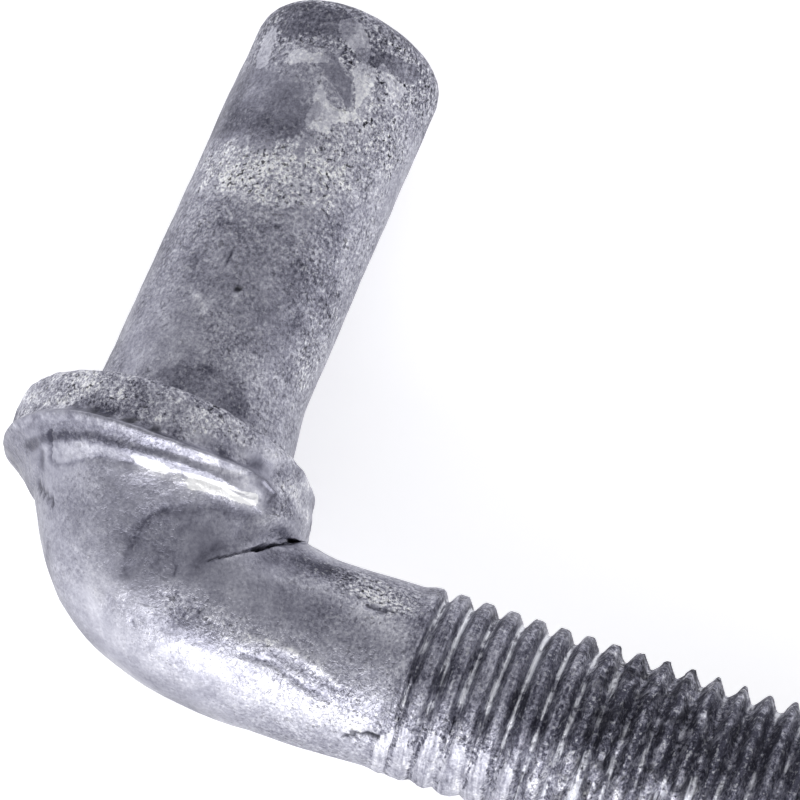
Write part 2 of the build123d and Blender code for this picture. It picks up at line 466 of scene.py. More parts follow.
# %% Noises: crystals of zinc, dross specks, clouds and smears
# lumps in mm, detail, roughness, distortion, offset, and a squeeze: below 1, lumps grow long
# that way. Crystals are too fine to show, so the finest noise is a clump of them, 0.3 mm across
NOISES = {
    "crystal": (0.31, 3, 0.68, 0, 0, (1, 0.85, 1)),
    "speck": (0.42, 1, 0.5, 0, 0.31, (1, 1, 1)),
    "cloud": (4.5, 4, 0.62, 0.4, 0, (1, 1, 1)),
    "smear": (1.6, 3, 0.6, 1.2, 0.17, (1, 1, 1)),
    "wrinkle": (0.9, 2, 0.5, 1.6, 0.53, (1, 0.75, 1)),
    "swell": (2.6, 1, 0.5, 0, 0.71, (1, 1, 1)),
    "streak": (0.45, 3, 0.6, 0, 0, (1, 0.12, 0.12)),
}
grain = {}
for name, (mm, detail, roughness, distortion, offset, squeeze) in NOISES.items():
    moved = add("VectorMath MULTIPLY_ADD", where, squeeze, (offset, offset, offset))
    sockets = {"Vector": moved, "Scale": MM / mm, "Detail": detail}
    sockets |= {"Roughness": roughness, "Distortion": distortion}
    grain[name] = add("TexNoise", sockets).outputs["Fac"]
swing = {name: add(MINUS, grain[name], 0.5) for name in grain if name != "speck"}
print("noises:", *grain)

# %% Tone: from bare dark alloy at 0 to clean bright zinc at 1, with painted highlights and shade in it
DULL_TONE = -0.22
FLAKE_TONE = 0.26
# A painted highlight drawn as a flake keeps this share of the grain too
GRAIN_OF_FLAKES = 0.35  # a dull or bright flake keeps this share of the grain
patches = marked["tone"]
for name, amount in (("cloud", 0.34), ("smear", 0.40), ("swell", 0.30)):
    patches = add(TIMES_PLUS, swing[name], amount, patches)
ragged_edge = add(TIMES, swing["smear"], 1.3)
ragged_edge = add(TIMES_PLUS, swing["crystal"], 0.5, ragged_edge)
dull, flake = (
    add(SOFT_STEP, add(PLUS, marked[name], ragged_edge), -0.04, 0.06)
    for name in ("dull", "flake")
)
patches = add(TIMES_PLUS, flake, FLAKE_TONE, patches)
patches = add(TIMES_PLUS, dull, DULL_TONE, patches)
either = add("Math MAXIMUM", dull, flake)
smooth = add(TIMES_PLUS, either, GRAIN_OF_FLAKES - 1, 1.0)
grainy = add(TIMES, marked["rough"], smooth)
strength = add(TIMES_PLUS, grainy, 2.3, 0.27)
shade = add(TIMES_PLUS, swing["crystal"], strength, patches)
strength = add(TIMES, grainy, 0.7)
shade = add(TIMES_PLUS, swing["wrinkle"], strength, shade)
strength = add(TIMES, marked["thread"], 1.4)
shade = add(TIMES_PLUS, swing["streak"], strength, shade)
toned = add("ValToRGB", shade)
stops = toned.color_ramp.elements
while len(stops) < len(ZINC_TONES):
    stops.new(0.5)
for stop, (at, colour) in zip(stops, ZINC_TONES.items()):
    stop.position = at
    stop.color = linear(colour)
base = toned.outputs["Color"]

# %% Dark specks and veins, pale specks, dirt and painted shade, and bright lines in the thread's roots
clusters = add(SOFT_STEP, grain["smear"], 0.42, 0.58)
dots = add(SOFT_STEP, grain["speck"], 0.575, 0.665)
dots = add(TIMES, dots, add(TIMES_PLUS, grainy, 0.80, 0.10))
dots = add(TIMES, dots, clusters)
veins = add(SOFT_STEP, add("Math ABSOLUTE", swing["wrinkle"]), 0.035, 0.0)
veins = add(TIMES, veins, grainy)
glints = add(SOFT_STEP, grain["speck"], 0.40, 0.30)
glints = add(TIMES, glints, add(TIMES_PLUS, grainy, 0.5, 0.02))
# The grime mark holds dirt and also painted shade in the fold's crack, in the undercut and at the
# pintle's foot
dirt = add(PLUS, marked["grime"], add(TIMES, swing["crystal"], 0.5))
dirt = add(SOFT_STEP, dirt, 0.15, 0.95)
# Bright lines painted along the roots of the thread, broken up by streaks
broken_line = add(PLUS, grain["streak"], add(TIMES, grain["smear"], 0.8))
broken_line = add(SOFT_STEP, broken_line, 0.80, 1.02)
filled = add(SOFT_STEP, marked["groove"], 0.84, 0.98)
filled = add(TIMES, filled, broken_line)
# layers, each covering this share of what lies under it
for share, colour in (
    (add(TIMES, veins, 0.4), GRIME),
    (dots, GRIME),
    (glints, PALE_SPECK),
    (add(TIMES, dirt, 0.85), GRIME),
    (filled, ROOT_ZINC),
):
    base = add("Mix RGBA", {0: share, 6: base, 7: colour}).outputs[2]

# %% Roughness, and relief in millimetres
rough = add(TIMES_PLUS, marked["rough"], 0.20, 0.33)
rough = add(PLUS, rough, add(SOFT_STEP, grain["cloud"], 0.35, 0.7, 0.08, -0.06))
rough = add(PLUS, rough, add(TIMES, dirt, 0.2))
strength = add(TIMES_PLUS, grainy, 0.13, 0.01)
fine = add(TIMES, swing["crystal"], strength)
strength = add(TIMES_PLUS, grainy, 0.08, 0.03)
smeared = add(TIMES, swing["smear"], strength)
rolling = add(TIMES, swing["cloud"], 0.24)
lumps = add(PLUS, add(PLUS, fine, smeared), rolling)
lumps = add(TIMES_PLUS, swing["swell"], 0.16, lumps)
pits = add(TIMES_PLUS, veins, -0.06, add(TIMES, dots, -0.08))
sockets = {"Height": add(PLUS, lumps, pits), "Strength": 1.0, "Distance": 1 / MM}
relief = add("Bump", sockets)

# %% The shader
sockets = {"Base Color": base, "Roughness": rough, "Metallic": 1.0, "Normal": relief}
add("OutputMaterial", add("BsdfPrincipled", sockets))
print("zinc has", len(tree.nodes), "nodes")

# %% [markdown]
# ## Weld head and thread into one skin
#
# The thread's modifier is read once, turned into a plain mesh and removed. Its first ring
# meets every other point of the neck's last ring, so the two merge into one closed skin.

# %% Run the thread's tree
thread_piece = to_mesh("thread", [(0, 0, 0)], [])
wrapper = thread_piece.modifiers.new("rolled_thread", "NODES")
wrapper.node_group = thread_tree
counts = {"Columns": THREAD_COLUMNS + 1, "Rows": ROWS_PER_TURN * (TURNS + 2) + 1, "Finish": zinc}
for item in thread_tree.interface.items_tree:
    if item.in_out == "INPUT":
        wrapper[item.identifier] = {**THREAD_SIZES, **counts}[item.name]
graph = bpy.context.evaluated_depsgraph_get()
thread_mesh = bpy.data.meshes.new_from_object(thread_piece.evaluated_get(graph))
thread_piece.modifiers.remove(wrapper)
print("thread:", len(thread_mesh.vertices), "points and", len(thread_mesh.polygons), "faces")

# %% Join, close the free end and merge the doubled ring
END_RINGS = (0.82, 0.6, 0.35, 0.12)  # shares of the free end's radius
END_RADIUS = CREST_RADIUS - END_CHAMFER
WELD_DISTANCE = 0.004
SLIVER = 0.0005
joined = bmesh.new()
joined.from_mesh(head_piece.data)
joined.from_mesh(thread_mesh)
bmesh.ops.remove_doubles(joined, verts=joined.verts, dist=WELD_DISTANCE)
edges = [e for e in joined.edges if len(e.link_faces) == 1]
print("open edges before the end is closed:", len(edges))
for share_of_rim in END_RINGS:
    made = bmesh.ops.extrude_edge_only(joined, edges=edges)["geom"]
    edges = [g for g in made if isinstance(g, bmesh.types.BMEdge) and len(g.link_faces) == 1]
    for v in {v for e in edges for v in e.verts}:
        scale = share_of_rim * END_RADIUS / math.hypot(v.co.y, v.co.z)
        v.co.y *= scale
        v.co.z *= scale
bmesh.ops.contextual_create(joined, geom=edges)
bmesh.ops.dissolve_degenerate(joined, dist=SLIVER, edges=joined.edges)
bmesh.ops.triangulate(joined, faces=[f for f in joined.faces if len(f.verts) > 4])
bmesh.ops.recalc_face_normals(joined, faces=joined.faces)
mesh = bpy.data.meshes.new("galvanised_bolt")
joined.to_mesh(mesh)
open_edges = sum(1 for e in joined.edges if len(e.link_faces) != 2)
joined.free()
for old in (head_piece, thread_piece):
    bpy.data.objects.remove(old)
bolt = link("galvanised_bolt", mesh)
print("skin:", len(mesh.vertices), "points,", open_edges, "open edges")

# %% [markdown]
# ## What hammer and zinc left behind
#
# The closed skin is still too perfect. Each point is now moved a little along the surface's
# own direction: slow waves from the hammer, lumps of zinc, the fold, a few nicks. Nearly
# all of it presses the skin in, so the part stays inside the solid's box.


# %% Points, directions and places on the skin
def read(items, name, parts):
    """One value of every item of the mesh, as an array; places and directions have 3 parts."""
    values = np.empty(len(items) * parts, np.float32)
    items.foreach_get(name, values)
    return values.reshape(-1, parts)


points = read(mesh.vertices, "co", 3).astype(float)
facing = read(mesh.vertex_normals, "vector", 3).astype(float)
flat = points[:, :2]  # a window into the points, which moves with them, as does x_at
x_at = points[:, 0]
height = flat @ UP
out = np.hypot(flat @ INWARDS, points[:, 2])
on_thread = np.clip((x_at - THREAD_START) / 2, 0, 1) * (height < SEAT - 4)
print("points on the thread:", int((on_thread > 0.5).sum()))


# %% Soft steps: most places on the skin are told apart with these
def rise(value, low, high):
    """0 below low, 1 above high and a soft rise between them."""
    t = np.clip((value - low) / (high - low), 0, 1)
    return t * t * (3 - 2 * t)


def fall(value, low, high):
    """1 below low, 0 above high and a soft fall between them."""
    return 1 - rise(value, low, high)


def band(value, a, b, c, d):
    """A soft band that rises from a to b and falls again from c to d."""
    return rise(value, a, b) * fall(value, c, d)


def look_up(value, table):
    """The second number of a table's rows, read off where the first is this value."""
    return np.interp(value, *np.array(table).T)


# %% Noise over the skin, and lines drawn on it
def waves(mm, seed):
    """Soft noise from -1 to 1 with lumps about this many millimetres across."""
    offset = Vector((seed * 7.3, seed * 3.1, seed * 5.7))
    return np.array([noise.noise(Vector(p) / mm + offset) for p in points.tolist()])


def near_line(line, wide):
    """1 on a line drawn over the skin through a few points, and 0 this far away from it."""
    line = np.array(line, float)
    stops = np.linspace(0, len(line) - 1, 6 * len(line))
    drawn = np.column_stack([np.interp(stops, np.arange(len(line)), column) for column in line.T])
    close = np.flatnonzero(np.abs(points - drawn.mean(axis=0)).max(axis=1) < 20)
    near = points[close]
    drawn = [near[np.linalg.norm(near - spot, axis=1).argmin()] for spot in drawn]
    best = np.full(len(near), 1e9)
    for a, b in zip(drawn, drawn[1:]):
        t = np.clip((near - a) @ (b - a) / max((b - a) @ (b - a), 1e-9), 0, 1)
        best = np.minimum(best, np.linalg.norm(near - a - t[:, None] * (b - a), axis=1))
    result = np.zeros(len(points))
    result[close] = fall(best, 0, wide)
    return result


# %% The bead climbs towards the fold and ends before it
# degrees round the collar, 0 on the shank's side and 180 on the outside of the bend, and mm
BEAD_LIFT = [(15, 0), (25, 0.3), (36, 0.9), (46, 1.4), (57, 1), (76, 0.25), (90, 0)]
BEAD_LIFT += [(120, 0.2), (158, -0.2), (169, -0.5), (180, -0.6)]
BEAD_SAG = [(25, 0), (35, 0.6), (46, 1.1), (57, 0.65), (65, 0.3), (76, 0)]
SEAT_DROP = 0.3  # the seat is hammered lower on the outside of the bend
TIP_DROP = 0.65  # and the tip on the shank's side
to_side = np.degrees(np.arctan2(np.abs(points[:, 2]), flat @ INWARDS))
climb = look_up(to_side, BEAD_LIFT)
lift = climb * band(height, 5.5, 7.5, 11, 14)
drop = SEAT_DROP * rise(to_side, 90, 150) * rise(height, 14, 16) * (height < SEAT + 0.1)
drop += TIP_DROP * rise(height, PIN_TIP - 5, PIN_TIP) * fall(to_side, 20, 110)
points[:, :2] += (lift - drop)[:, None] * UP
over_bead = flat @ UP - LIP_HEIGHT - climb
near_collar = fall(out, 16.5, 17)
sag = look_up(to_side, BEAD_SAG) * band(-over_bead, 0, 1, 1.5, 6) * near_collar
points[:, :2] -= sag[:, None] * UP
height = flat @ UP
over_bead = height - LIP_HEIGHT - climb
print("bead climbs by mm:", np.ptp(lift).round(2))

# %% The collar's wall over the fold, its bulge on the outside and the pintle's swollen foot
FOLD_HEIGHTS = [(0, 9.5), (10, 9.3), (18, 8.7), (24, 7.8), (33.6, 5.8), (40, 4.4), (45, 3.2)]
WALL_RADII = [(7, 15.3), (9, 15.8), (10.5, 15.85), (12.5, 15.35), (14.2, 15.1)]
BULGE = 0.5
FOOT_SWELL = 1
PIN_SHIFT = 0.12
sides = np.radians(to_side)
fold_height = look_up(to_side, FOLD_HEIGHTS)
wall = band(height, fold_height, fold_height + 0.6, 13.2, 14.4) * fall(to_side, 33, 43)
wall *= near_collar
outwards = (look_up(height, WALL_RADII) - out) * wall
outwards += BULGE * rise(to_side, 120, 165) * band(height, 10, 11.2, 14, 15.8)
foot = fall(height, SEAT + 0.8, SEAT + 9) * (height > SEAT + 0.1) * (out < 14)
outwards += FOOT_SWELL * foot * fall(to_side, 30, 90)
outwards += PIN_SHIFT * np.cos(sides) * rise(height, SEAT + 0.1, SEAT + 2)
points[:, :2] += (outwards * np.cos(sides))[:, None] * INWARDS
points[:, 2] += outwards * np.sin(sides) * np.sign(points[:, 2])
out = np.hypot(flat @ INWARDS, points[:, 2])
print("wall moves by mm:", np.abs(outwards).max().round(2))

# %% Regions of the skin
on_pin = rise(height, SEAT + 0.2, SEAT + 1.2)
on_rim = rise(over_bead, 0.5, 1.2) * (1 - on_pin) * rise(out, PIN_RADIUS, PIN_RADIUS + 1)
on_rim = np.maximum(on_rim, wall * rise(height, fold_height + 2, fold_height + 4))
on_head = (1 - on_pin) * (1 - on_rim) * (1 - on_thread)
by_collar = out < 17.5
around_pin = np.degrees(np.arctan2(points[:, 2], flat @ INWARDS))
around_bar = np.degrees(np.arctan2(points[:, 2], -points[:, 1]))
print("pintle, share of the skin:", on_pin.mean().round(3))


def on_side(angle):
    """1 where the bar faces this way, 0 where it faces away; 0 is downwards, 90 the viewer."""
    return np.clip(np.cos(np.radians(around_bar - angle)), 0, 1)


# %% Patches and strokes on the pintle, by height in mm and angle, with 90 facing the viewer
ragged = 0.3 * waves(2.2, 6) + 0.22 * waves(1.2, 7)


def patch(at_height, at_angle, half_height, half_width):
    """1 inside a soft oval, 0 outside."""
    sideways = np.radians((around_pin - at_angle + 180) % 360 - 180) * PIN_RADIUS
    reach = np.hypot((height - at_height) / half_height, sideways / half_width) + ragged
    return fall(reach, 0.82, 1.02) * on_pin


def stroke(start, end, wide, narrow):
    """1 along a tapering stroke, 0 at its edge and less beyond."""
    unrolled = np.column_stack([height, np.radians(around_pin) * PIN_RADIUS])
    ends = [(at, math.radians(angle) * PIN_RADIUS) for at, angle in (start, end)]
    a, b = np.array(ends)
    t = np.clip((unrolled - a) @ (b - a) / ((b - a) @ (b - a)), 0, 1)
    distance = np.linalg.norm(unrolled - a - t[:, None] * (b - a), axis=1)
    return 1 - distance / (wide + (narrow - wide) * t) - 9 * (1 - on_pin)


# %% How deep the skin lies in the thread's groove, and where zinc fills it
sunk = read(mesh.attributes["groove"].data, "value", 1)[:, 0]  # 0 on a crest, 1 in a root
from_axis = np.hypot(points[:, 1], points[:, 2])
threaded = on_thread * (x_at < SHANK_LENGTH - 2 * END_CHAMFER)
groove_depth = np.clip(CREST_RADIUS - from_axis, 0, 2) * threaded
low_side = on_side(5)
second_turns = band(x_at, 31, 35, 37, 42)
filling = rise(low_side + 0.08 * second_turns + 0.1 * waves(2.2, 19), 0.58, 0.84)
filling *= 0.22 + 0.78 * fall(x_at, 34, 48)
debris = rise(x_at, 42, 48) * (1 - 0.45 * rise(x_at, 56, 66)) * on_thread
print("deepest groove in mm:", groove_depth.max().round(2))

# %% Dents and scratches: width, depth, how much darker, how much grime and shade, and points to draw through
FOLD_LINE = [(8.9, 1.8, 10.2), (10, 2.7, 9.9), (11, 3.6, 9.2), (11.9, 4.6, 8.4), (12.8, 5.3, 8.1)]
FOLD_MOUTH = [(12.3, 4.9, 8.3), (13.4, 6.1, 7.3), (14.3, 7, 6.3)]
FOLD_MOUTH += [(15, 8, 4.4), (15.5, 9.2, 2.4), (15.6, 10, 0)]
FOLD_CORNER = [(14, 7.8, 7), (14.9, 8.7, 4.8), (15.5, 9.2, 2.4)]
# The darkness is partly the dents' own dark metal and partly painted shade in the hollows, the
# creases and the fold's crack, where the grime is painted shade as well. A negative darkness
# lightens: a painted highlight along raised edges, and the bright metal of scratches.
DENTS = [
    (0.22, 0.35, 0.2, 0.6, FOLD_LINE),
    (0.36, 0.8, 0.3, 0.75, FOLD_MOUTH[:3]),
    (0.5, 0.1, 0.2, 0.2, FOLD_MOUTH[2:]),
    (1, 0.12, 0.2, 0.1, FOLD_CORNER),
    (0.4, -0.1, -0.15, 0, [(10.3, 2.6, 9.7), (11.9, 3.9, 8.3), (13.2, 5.2, 7.2), (15.5, 6.3, 7)]),
    (1.3, 0.16, 0.16, 0, [(8.3, 0.7, 10.2), (8.5, 2.5, 10.3), (9.9, 3.6, 10.2), (11.7, 5.4, 9.6),
     (14, 7.8, 7.3)]),
    (0.9, 0.05, 0.17, 0, [(1.7, -1.4, 8.7), (1.7, 0.8, 9.6), (1.6, 2.3, 10.3), (2.5, 4, 11.2),
     (3.6, 4.9, 11.5)]),
    (0.9, 0.05, 0.17, 0, [(3.6, 4.9, 11.5), (5.8, 5.8, 11.5), (8.2, 6.8, 10.8), (11.3, 7.4, 10)]),
    (1, 0.12, 0.22, 0.1, [(10.6, 10.9, 11.7), (11.6, 10.7, 10.6), (12.4, 10, 10),
     (12.6, 8.9, 9.5)]),
    (0.35, 0.25, 0.3, 0.1, [(-9.6, 9.5, 9.9), (-9.4, 8.6, 9), (-9.3, 7.8, 7.8)]),
    (0.4, 0.15, 0.22, 0, [(-9.1, 7.6, 7.7), (-8, 7.2, 8.2), (-7.2, 7.1, 9.2), (-6, 7.3, 10.4),
     (-4, 7.7, 12)]),
    (0.7, 0.12, 0.18, 0, [(-4, 7.7, 12), (-0.7, 7.8, 13.3), (-0.5, 8.1, 13.7), (-0.9, 8.6, 14.3)]),
    (0.7, 0.08, 0.28, 0, [(-10.2, 8.3, 7.2), (-10.2, 7.8, 6.3), (-9.8, 7.2, 5.7)]),
    (0.28, 0.18, 0.3, 0.3, [(-9.6, 6.4, 3.6), (-8.6, 5.3, 4.9), (-7.5, 4.4, 6)]),
    (0.3, 0.3, 0.3, 0.7, [(26.2, -8.5, 3.5), (26.8, -8.2, 4), (27.2, -8, 4.3)]),
    (0.4, 0.35, 0.3, 0.9, [(27.9, -7.9, 4.5), (28.9, -8, 4.6)]),
    (0.35, 0.1, 0.25, 0.3, [(6.3, 0.2, 10), (6.3, -0.3, 10)]),
    (0.3, 0.08, 0.2, 0.2, [(7.1, -1.5, 9.4), (7.1, -2.1, 9.4)]),
    (0.45, 0.12, 0.25, 0.5, [(9.8, -2.4, 9.1), (9.8, -3, 9.1)]),
    (0.35, 0.1, 0.25, 0.3, [(12.3, -3, 9), (12.7, -3, 9)]),
    (0.3, 0.2, 0.3, 0.5, [(3.6, -5.1, 6.4), (3.8, -5.3, 6.4)]),
    (0.45, 0.3, 0.3, 1, [(2.1, 29.6, 9.9), (2.4, 29.7, 9.9)]),
    (0.5, 0.03, 0.18, 0, [(-3.9, 34.1, 8), (-3.1, 35.4, 8.5), (-0.6, 36, 9.4), (2.2, 36.5, 9.8),
     (3.9, 37.1, 9.7)]),
    (0.3, 0.04, -0.25, 0, [(-2.3, 28.4, 9.1), (-1.1, 27.7, 9.5), (0.1, 26.2, 9.7)]),
    (0.3, 0.04, -0.25, 0, [(2.4, 27.5, 9.8), (2.5, 28.9, 9.8), (2.6, 30.3, 9.8)]),
    (0.3, 0.1, 0.3, 0.4, [(0.4, 31.8, 9.7), (0.5, 33.1, 9.7)]),
    (0.5, 0.2, 0.35, 0.35, [(6.5, 15.4, 13.1), (8.1, 15.5, 12), (9.3, 15.3, 11.4)]),
    (1, -0.14, 0, 0, [(14.4, -4.4, 8.2), (16.3, -4, 8.1), (18.1, -3.8, 8.2), (19.8, -3.9, 8.2),
     (21.6, -4.2, 8.1)]),
    (0.38, 0.14, 0.3, 0, [(14.7, -5.2, 7.7), (18.1, -5.1, 7.5), (19.8, -5.8, 7), (21, -6.1, 6.8),
     (23.3, -6.4, 6.5)]),
    (0.5, -0.08, -0.22, 0, [(14.7, -4, 8.6), (17.5, -3.3, 8.5), (21, -4, 8.2), (23.9, -5, 7.5)]),
    (0.8, 0.03, 0.22, 0, [(17.5, -4.3, 8), (19.6, -4.6, 7.8), (21.6, -5.1, 7.5),
     (24.8, -5.6, 7.1)]),
    (0.45, 0.2, 0.3, 0.5, [(24.5, 2.9, 8.5), (25.4, 2.9, 8.5)]),
    (0.35, 0.2, 0.3, 0.6, [(26.2, 3, 8.5), (26.7, 3.2, 8.4)]),
    (0.3, 0.15, 0.3, 0.5, [(23.3, 3.7, 8.2), (23.5, 3.4, 8.3)]),
    (1.3, 0.1, 0.22, 0.1, [(10.3, 13.6, 11.3), (11.1, 13, 10.6), (12, 12.5, 9.5)]),
    (2.6, 0.1, 0.34, 0, [(14.5, 4.6, 8.2), (16.6, 4.8, 7.8), (18.7, 5.4, 7.3), (21, 5.8, 6.9)]),
]
print("dents:", len(DENTS))

# %% Stains and painted shade, which only change the tone: width, how much darker, and points to draw through
STAINS = [
    (2.4, -0.16, [(10.5, -7, 6.2), (12.7, -7.4, 5.4), (19.5, -7.6, 5), (26.2, -7.7, 4.6)]),
    # This one is painted shade over the upper edge of the elbow's bright band
    (2.4, 0.24, [(7.8, -4.2, 8.4), (11, -4.6, 8.1)]),
    (2.2, -0.12, [(-1.3, -1.6, 7.3), (2.4, -3.4, 7.5)]),
    (2, 0.24, [(16.4, 6.3, 6.6), (19.3, 5.8, 7)]),
    (2, -0.15, [(44.7, -7.5, 5.3), (50.3, -6.4, 5.8)]),
    (2, 0.12, [(48.5, -4.3, 8), (53.1, -3.4, 7.6)]),
    (2.4, -0.18, [(52.5, 5, 6.9), (56, 4.8, 6.9)]),
    (2.6, 0.1, [(14.3, 1.4, 9.2), (18.7, 0.3, 8.9), (22.7, -0.6, 9), (27.4, -1.5, 9)]),
    (3, 0.06, [(8.8, 0.2, 10), (12.6, 0, 9.6)]),
    (1.8, -0.11, [(15.5, 3.6, 8.6), (19.3, 3.2, 8.4), (22.7, 2.6, 8.6)]),
    (2.2, -0.24, [(24.6, 4.4, 7.8), (26.6, 3.9, 8)]),
    (2.2, -0.2, [(23.9, 2.9, 8.5), (25.6, 2.1, 8.8), (27.9, 1.2, 9)]),
    (1, -0.15, [(26.2, -7.8, 4.8), (28.5, -7.6, 4.4)]),
]
print("stains:", len(STAINS))

# %% Press in the hammer's waves, the lumps of zinc and the dents
slow, medium, small = waves(9, 1), waves(2.6, 2), waves(1.1, 3)
# where, how deep in mm, which waves, and the level above which they stand proud
HAMMER_WAVES = [
    (1, 0.1, slow, 0.45),
    (1 - on_thread, 0.05, medium, 0.5),
    (on_rim, 0.1, small, 0.7),
    (on_rim, 0.1, medium, 0.7),
    (on_pin, 0.025, small, 0.7),
    (on_thread, 0.03, small, 0.6),
    (on_thread, -0.05, slow, 0.8),
]
press = sum(area * deep * (wave - level) for area, deep, wave, level in HAMMER_WAVES)
press += debris * 0.5 * np.minimum(waves(1.5, 15) - 0.05, 0)
press += 0.68 * filling * groove_depth
press += filling * on_thread * 0.34 * (waves(1.9, 16) - 0.4)
darker, grimy = np.zeros(len(points)), np.zeros(len(points))
for wide, deep, dark, grime, line in DENTS:
    pressed = near_line(line, wide)
    press -= deep * pressed
    darker += dark * pressed
    grimy = np.maximum(grimy, grime * pressed)
for wide, dark, line in STAINS:
    darker += dark * near_line(line, wide)
print("deepest dent in mm:", -press.min().round(2))

# %% The fold's far side, the rolled bead and where the bead and the ridge under it merge
# Painted shade in the crack on the fold's far side, carried by the grime mark
far_fold = near_line([(x, y, -z) for x, y, z in FOLD_LINE + FOLD_MOUTH[1:4]], 0.5)
press -= 0.8 * far_fold
grimy = np.maximum(grimy, far_fold)
on_bead = band(over_bead, -3, -2.4, 0.4, 0.9) * rise(to_side, 36, 44) * (1 - on_pin)
press += on_bead * by_collar * (0.07 * waves(0.8, 13) + 0.06 * waves(1.8, 14))
merge = band(to_side, 34, 44, 50, 62) * band(over_bead, -2.2, -1.5, -1.1, -0.5)
press += 0.3 * merge * by_collar
press = np.where(on_thread > 0.5, np.minimum(press, groove_depth), press)
points = points + facing * press[:, None]
mesh.vertices.foreach_set("co", lay_down(points).astype(np.float32).ravel())
mesh.update()
print("deepest press in mm:", -press.min().round(2))

# %% [markdown]
# ## Where the zinc is light, grainy or grimy, and where highlight and shade are painted
#
# One finish covers the whole bolt, and what differs from place to place is painted on the
# points as numbers: tone from 0 dark to 1 bright, which also holds painted highlights and
# shade, rough for how grainy the zinc is, grime and painted shade, and dull or bright
# flakes, some of which are painted highlights. The finish adds its noise to them, so their
# edges break up.

# %% Tone and grain round the lip, its rolled bead and the ridge under it, with painted highlights and shade
tone = 0.5 + 0.1 * waves(7, 4) - darker - 0.03 * on_pin
around_lip = rise(to_side, 38, 46) * (1 - on_pin)
over_bead += 0.25 * waves(0.9, 12)
# Painted shade in the undercut groove over the bead, and dark spots in it
undercut_top = 2.9 - 0.9 * rise(to_side, 60, 95)
undercut = band(over_bead, 0.35, 0.7, undercut_top - 0.7, undercut_top) * around_lip
undercut *= fall(to_side, 125, 150)
tone -= (0.18 - 0.16 * rise(to_side, 105, 125) + 0.3 * waves(1.6, 9)) * undercut
soot = undercut * band(to_side, 76, 88, 112, 124) * rise(waves(1, 17), -0.2, 0.2)
rope_foot = -0.15 - 0.2 * fall(to_side, 55, 85)
rope = band(over_bead, rope_foot - 0.3, rope_foot, 0.1, 0.4) * around_lip
tone += (0.35 * waves(0.7, 25) - 0.02) * rope
# Painted shade on the body of the bead, below its rope
body = band(over_bead, -1.7, -1.3, rope_foot - 0.3, rope_foot) * around_lip
tone -= body * (0.2 * rise(to_side, 72, 95) * (1 - 0.7 * rise(to_side, 120, 145)) + 0.02)
# Painted highlight where the bead and the ridge under it merge
tone += 0.2 * merge
# painted highlights on the bead's end and on the ridge under it, and painted shade in the groove
# between them: how much lighter, where over the bead in mm, and where round the collar in degrees
LIP_BANDS = [
    (0.22, (-1.1, -0.7, 0.2, 0.5), (38, 46, 60, 82)),
    (0.24, (-3.1, -2.5, -1.8, -1.5), (38, 46, 85, 100)),
    (-0.24, (-1.8, -1.5, -1.1, -0.8), (92, 105, 150, 165)),
]
for lighter, over, round_collar in LIP_BANDS:
    tone += lighter * band(over_bead, *over) * band(to_side, *round_collar)
# Painted highlight on the flat face of the ridge under the bead, towards the outside of the bend
box = band(over_bead, -3.1, -2.8, -1.9, -1.6) * band(to_side, 95, 100, 130, 133)
tone += 0.1 * box * (points[:, 2] > 0)
print("round the lip, share of the skin:", around_lip.mean().round(3))

# %% Tone and grain of the collar's rim, the elbow and the neck, with painted shade and highlight
tone += on_rim * (0.04 + 0.46 * waves(2.2, 11) + 0.12 * waves(5, 23))
tone += 0.1 * wall - 0.12 * on_rim * fall(over_bead, 1, 3.2)
tone -= 0.03 * on_head * rise(to_side, 105, 135) * (1 - rope) * (x_at < 5)
# Painted shade in the hollow flank between the arch and the fold
tone -= 0.15 * near_line([(4, 1.5, 10.6), (9, 5, 10.6)], 5.5)
# Painted shade: the outer sides, seen edge on, are darker, up to the thread
outer_side = rise(-facing[:, 0] - facing[:, 1], 0.2, 0.7) * fall(facing[:, 2], 0, 0.45)
tone -= (0.18 + 0.1 * on_pin) * outer_side * fall(x_at, 40, 50)
# Painted highlight: the elbow and neck are lighter on the side that faces the low lamp
below = on_side(30)
tone += on_head * (0.13 * rise(below, 0.55, 0.95) - 0.04)
grit = (0.88 + 0.45 * waves(3, 10)) * on_rim
grit -= 0.35 * on_rim * fall(to_side, 40, 75) + 0.45 * undercut
grit += on_head * (0.12 + 0.3 * rise(x_at, 9, 24) + 0.2 * waves(5, 8))
grit += 0.4 * near_line([(6.8, -2.7, 9), (12.4, -3.3, 8.9), (16.3, -3.9, 8.4)], 2.4)
neck_crust = near_line([(21.6, 5.3, 7.3), (27.5, 4.5, 7.8)], 3.2)
grit += 0.8 * neck_crust
tone += (0.08 + 0.4 * waves(1.5, 18)) * neck_crust
print("rim, share of the skin:", on_rim.mean().round(3))

# %% On the pintle: patches as (height, angle, half height, half width, lighter, grainier)
PIN_PATCHES = [
    (60.5, 100, 3.4, 9, -0.1, -0.1), (58.6, 52, 2.8, 7, -0.05, 0.45), (43.2, 103, 4, 9, 0.24, 0.42),
    (47.4, 118, 1.8, 6, -0.1, 0.1), (47.5, 55, 4.8, 6.5, 0.08, 0.3), (52, 35, 3.5, 4.5, 0.05, 0.4),
    (32, 85, 5.4, 7.2, -0.11, -0.05), (26.8, 60, 2.6, 4, -0.08, -0.1), (29.7, 22, 6, 3, 0.12, 0.3),
    (31, 36, 7, 3.2, -0.1, 0.1), (40.5, 22, 5.5, 3, 0.14, 0.1), (37.5, 52, 4, 2.5, -0.09, 0.1),
    (54, 68, 3.2, 5, 0.1, 0.1), (57.5, 44, 2.4, 4, 0.12, 0.1), (40.8, 101, 2.4, 5, 0.14, 0.1),
    # The last patch here, dark at the pintle's foot, is painted shade where the pintle meets the
    # seat
    (23, 120, 4.6, 6, 0.07, -0.12), (19, 78, 2.2, 4.8, -0.34, -0.1),
]
